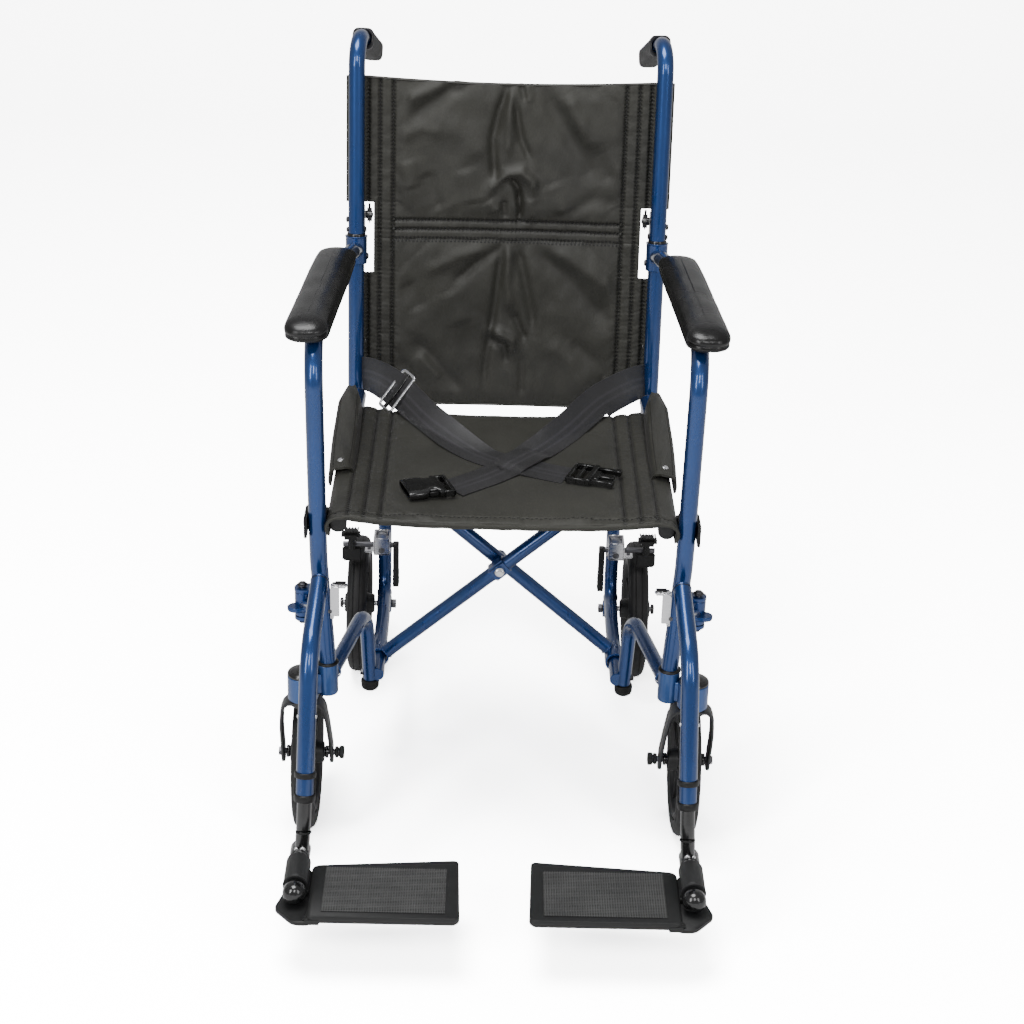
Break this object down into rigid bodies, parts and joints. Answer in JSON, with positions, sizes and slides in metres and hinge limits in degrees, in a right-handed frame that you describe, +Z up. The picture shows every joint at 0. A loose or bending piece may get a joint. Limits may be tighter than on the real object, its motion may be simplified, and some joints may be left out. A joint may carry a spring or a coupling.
{
  "type": "transport wheelchair",
  "caption": "Folding transport wheelchair: tubular side frames, cross brace, sling seat and back, fold-down push handles, swivel casters and swing-away leg rests.",
  "frame": {"origin": "on the floor, on the mid-plane between the two side frames, under the middle of the overall length", "axes": "+Z up; -Y is the way the occupant faces, so the footplates are at -Y; +X is the occupant's left"},
  "size_m": [0.57, 0.9349, 0.9365],
  "materials": {
    "blue_tube": "gloss",
    "black_vinyl": "satin",
    "black_plastic": "satin",
    "grey_plastic": "matte",
    "dark_rubber": "matte",
    "tyre_rubber": "matte",
    "steel": "polished",
    "black_tube": "satin",
    "nylon": "woven",
    "webbing": "satin woven"
  },
  "bodies": {
    "left_side": {"side_frame_left": "blue_tube", "arm_pad_left": "black_vinyl", "seat_saddle_left": "black_plastic", "stem_cap_left": "black_plastic", "leg_tip_left": "dark_rubber", "rear_axle_left": "steel", "brake_bracket_left": "steel", "back_sling_lower": "nylon"},
    "right_side": {"side_frame_right": "blue_tube", "arm_pad_right": "black_vinyl", "seat_saddle_right": "black_plastic", "stem_cap_right": "black_plastic", "leg_tip_right": "dark_rubber", "rear_axle_right": "steel", "brake_bracket_right": "steel"},
    "brace_a": {"brace_arm_a": "blue_tube", "brace_bolt": "steel", "seat_sling": "nylon", "lap_belt_left": "webbing", "lap_belt_right": "webbing", "belt_slide": "black_plastic", "buckle_socket": "black_plastic", "buckle_tongue": "black_plastic"},
    "brace_b": {"brace_arm_b": "blue_tube"},
    "back_left": {"back_cane_left": "blue_tube", "hand_grip_left": "dark_rubber", "back_sling_upper": "nylon"},
    "back_release_body_left": {"back_release_left": "black_plastic"},
    "caster_left": {"caster_fork_left": "grey_plastic", "caster_axle_left": "black_plastic"},
    "caster_wheel_body_left": {"caster_wheel_left": "grey_plastic", "caster_tyre_left": "tyre_rubber"},
    "rear_wheel_body_left": {"rear_wheel_left": "grey_plastic", "rear_tyre_left": "tyre_rubber"},
    "brake_left": {"brake_lever_left": "black_plastic"},
    "hanger_left": {"leg_hanger_left": "blue_tube"},
    "hanger_latch_body_left": {"hanger_latch_left": "steel"},
    "extension_left": {"leg_extension_left": "black_tube"},
    "footplate_body_left": {"footplate_left": "grey_plastic"},
    "back_right": {"back_cane_right": "blue_tube", "hand_grip_right": "dark_rubber"},
    "back_release_body_right": {"back_release_right": "black_plastic"},
    "caster_right": {"caster_fork_right": "grey_plastic", "caster_axle_right": "black_plastic"},
    "caster_wheel_body_right": {"caster_wheel_right": "grey_plastic", "caster_tyre_right": "tyre_rubber"},
    "rear_wheel_body_right": {"rear_wheel_right": "grey_plastic", "rear_tyre_right": "tyre_rubber"},
    "brake_right": {"brake_lever_right": "black_plastic"},
    "hanger_right": {"leg_hanger_right": "blue_tube"},
    "hanger_latch_body_right": {"hanger_latch_right": "steel"},
    "extension_right": {"leg_extension_right": "black_tube"},
    "footplate_body_right": {"footplate_right": "grey_plastic"}
  },
  "joints": [
    {"name": "fold", "type": "hinge", "parent": "left_side", "child": "brace_a", "pos_m": [0.1642, 0.0786, 0.133], "axis": [0, 1, 0], "range_deg": [0, 40], "deforming": ["seat_sling", "lap_belt_left", "lap_belt_right", "belt_slide", "buckle_socket", "buckle_tongue", "back_sling_lower", "back_sling_upper"]},
    {"name": "brace_cross", "type": "hinge", "parent": "brace_a", "child": "brace_b", "pos_m": [0, 0.0786, 0.2758], "axis": [0, 1, 0], "range_deg": [-80, 0]},
    {"name": "brace_foot", "type": "hinge", "parent": "brace_b", "child": "right_side", "pos_m": [-0.1642, 0.0786, 0.133], "axis": [0, 1, 0], "range_deg": [0, 40]},
    {"name": "back_fold_left", "type": "hinge", "parent": "left_side", "child": "back_left", "pos_m": [0.207, 0.3156, 0.657], "axis": [-1, 0, 0], "range_deg": [0, 110]},
    {"name": "back_release_left", "type": "hinge", "parent": "back_left", "child": "back_release_body_left", "pos_m": [0.19, 0.3126, 0.692], "axis": [1, 0, 0], "range_deg": [-20, 0]},
    {"name": "caster_swivel_left", "type": "hinge", "parent": "left_side", "child": "caster_left", "pos_m": [0.247, -0.1804, 0.23], "axis": [0, 0, 1], "continuous": true},
    {"name": "caster_roll_left", "type": "hinge", "parent": "caster_left", "child": "caster_wheel_body_left", "pos_m": [0.247, -0.1304, 0.101], "axis": [1, 0, 0], "continuous": true},
    {"name": "rear_roll_left", "type": "hinge", "parent": "left_side", "child": "rear_wheel_body_left", "pos_m": [0.204, 0.2806, 0.101], "axis": [1, 0, 0], "continuous": true},
    {"name": "brake_left", "type": "hinge", "parent": "left_side", "child": "brake_left", "pos_m": [0.185, 0.2346, 0.222], "axis": [1, 0, 0], "range_deg": [0, 18]},
    {"name": "hanger_swing_left", "type": "hinge", "parent": "left_side", "child": "hanger_left", "pos_m": [0.247, -0.1614, 0.34], "axis": [0, 0, 1], "range_deg": [0, 90]},
    {"name": "hanger_latch_left", "type": "hinge", "parent": "hanger_left", "child": "hanger_latch_body_left", "pos_m": [0.206, -0.2034, 0.366], "axis": [1, 0, 0], "range_deg": [0, 20]},
    {"name": "leg_length_left", "type": "slide", "parent": "hanger_left", "child": "extension_left", "axis": [0.0224, -0.2681, -0.9631], "range_m": [0, 0.06]},
    {"name": "footplate_flip_left", "type": "hinge", "parent": "extension_left", "child": "footplate_body_left", "pos_m": [0.238, -0.3914, 0.094], "axis": [0, 1, 0], "range_deg": [0, 90]},
    {"name": "back_fold_right", "type": "hinge", "parent": "right_side", "child": "back_right", "pos_m": [-0.207, 0.3156, 0.657], "axis": [-1, 0, 0], "range_deg": [0, 110]},
    {"name": "back_release_right", "type": "hinge", "parent": "back_right", "child": "back_release_body_right", "pos_m": [-0.19, 0.3126, 0.692], "axis": [1, 0, 0], "range_deg": [-20, 0]},
    {"name": "caster_swivel_right", "type": "hinge", "parent": "right_side", "child": "caster_right", "pos_m": [-0.247, -0.1804, 0.23], "axis": [0, 0, 1], "continuous": true},
    {"name": "caster_roll_right", "type": "hinge", "parent": "caster_right", "child": "caster_wheel_body_right", "pos_m": [-0.247, -0.1304, 0.101], "axis": [1, 0, 0], "continuous": true},
    {"name": "rear_roll_right", "type": "hinge", "parent": "right_side", "child": "rear_wheel_body_right", "pos_m": [-0.204, 0.2806, 0.101], "axis": [1, 0, 0], "continuous": true},
    {"name": "brake_right", "type": "hinge", "parent": "right_side", "child": "brake_right", "pos_m": [-0.185, 0.2346, 0.222], "axis": [1, 0, 0], "range_deg": [0, 18]},
    {"name": "hanger_swing_right", "type": "hinge", "parent": "right_side", "child": "hanger_right", "pos_m": [-0.247, -0.1614, 0.34], "axis": [0, 0, -1], "range_deg": [0, 90]},
    {"name": "hanger_latch_right", "type": "hinge", "parent": "hanger_right", "child": "hanger_latch_body_right", "pos_m": [-0.206, -0.2034, 0.366], "axis": [1, 0, 0], "range_deg": [0, 20]},
    {"name": "leg_length_right", "type": "slide", "parent": "hanger_right", "child": "extension_right", "axis": [-0.0224, -0.2681, -0.9631], "range_m": [0, 0.06]},
    {"name": "footplate_flip_right", "type": "hinge", "parent": "extension_right", "child": "footplate_body_right", "pos_m": [-0.238, -0.3914, 0.094], "axis": [0, -1, 0], "range_deg": [0, 90]}
  ],
  "couplings": [
    {"joint": "brace_cross", "follows": "fold", "ratio": -2},
    {"joint": "brace_foot", "follows": "fold", "ratio": 1},
    {"joint": "footplate_flip_left", "follows": "fold", "ratio": 2.25},
    {"joint": "footplate_flip_right", "follows": "fold", "ratio": 2.25},
    {"joint": "back_fold_right", "follows": "back_fold_left", "ratio": 1}
  ]
}
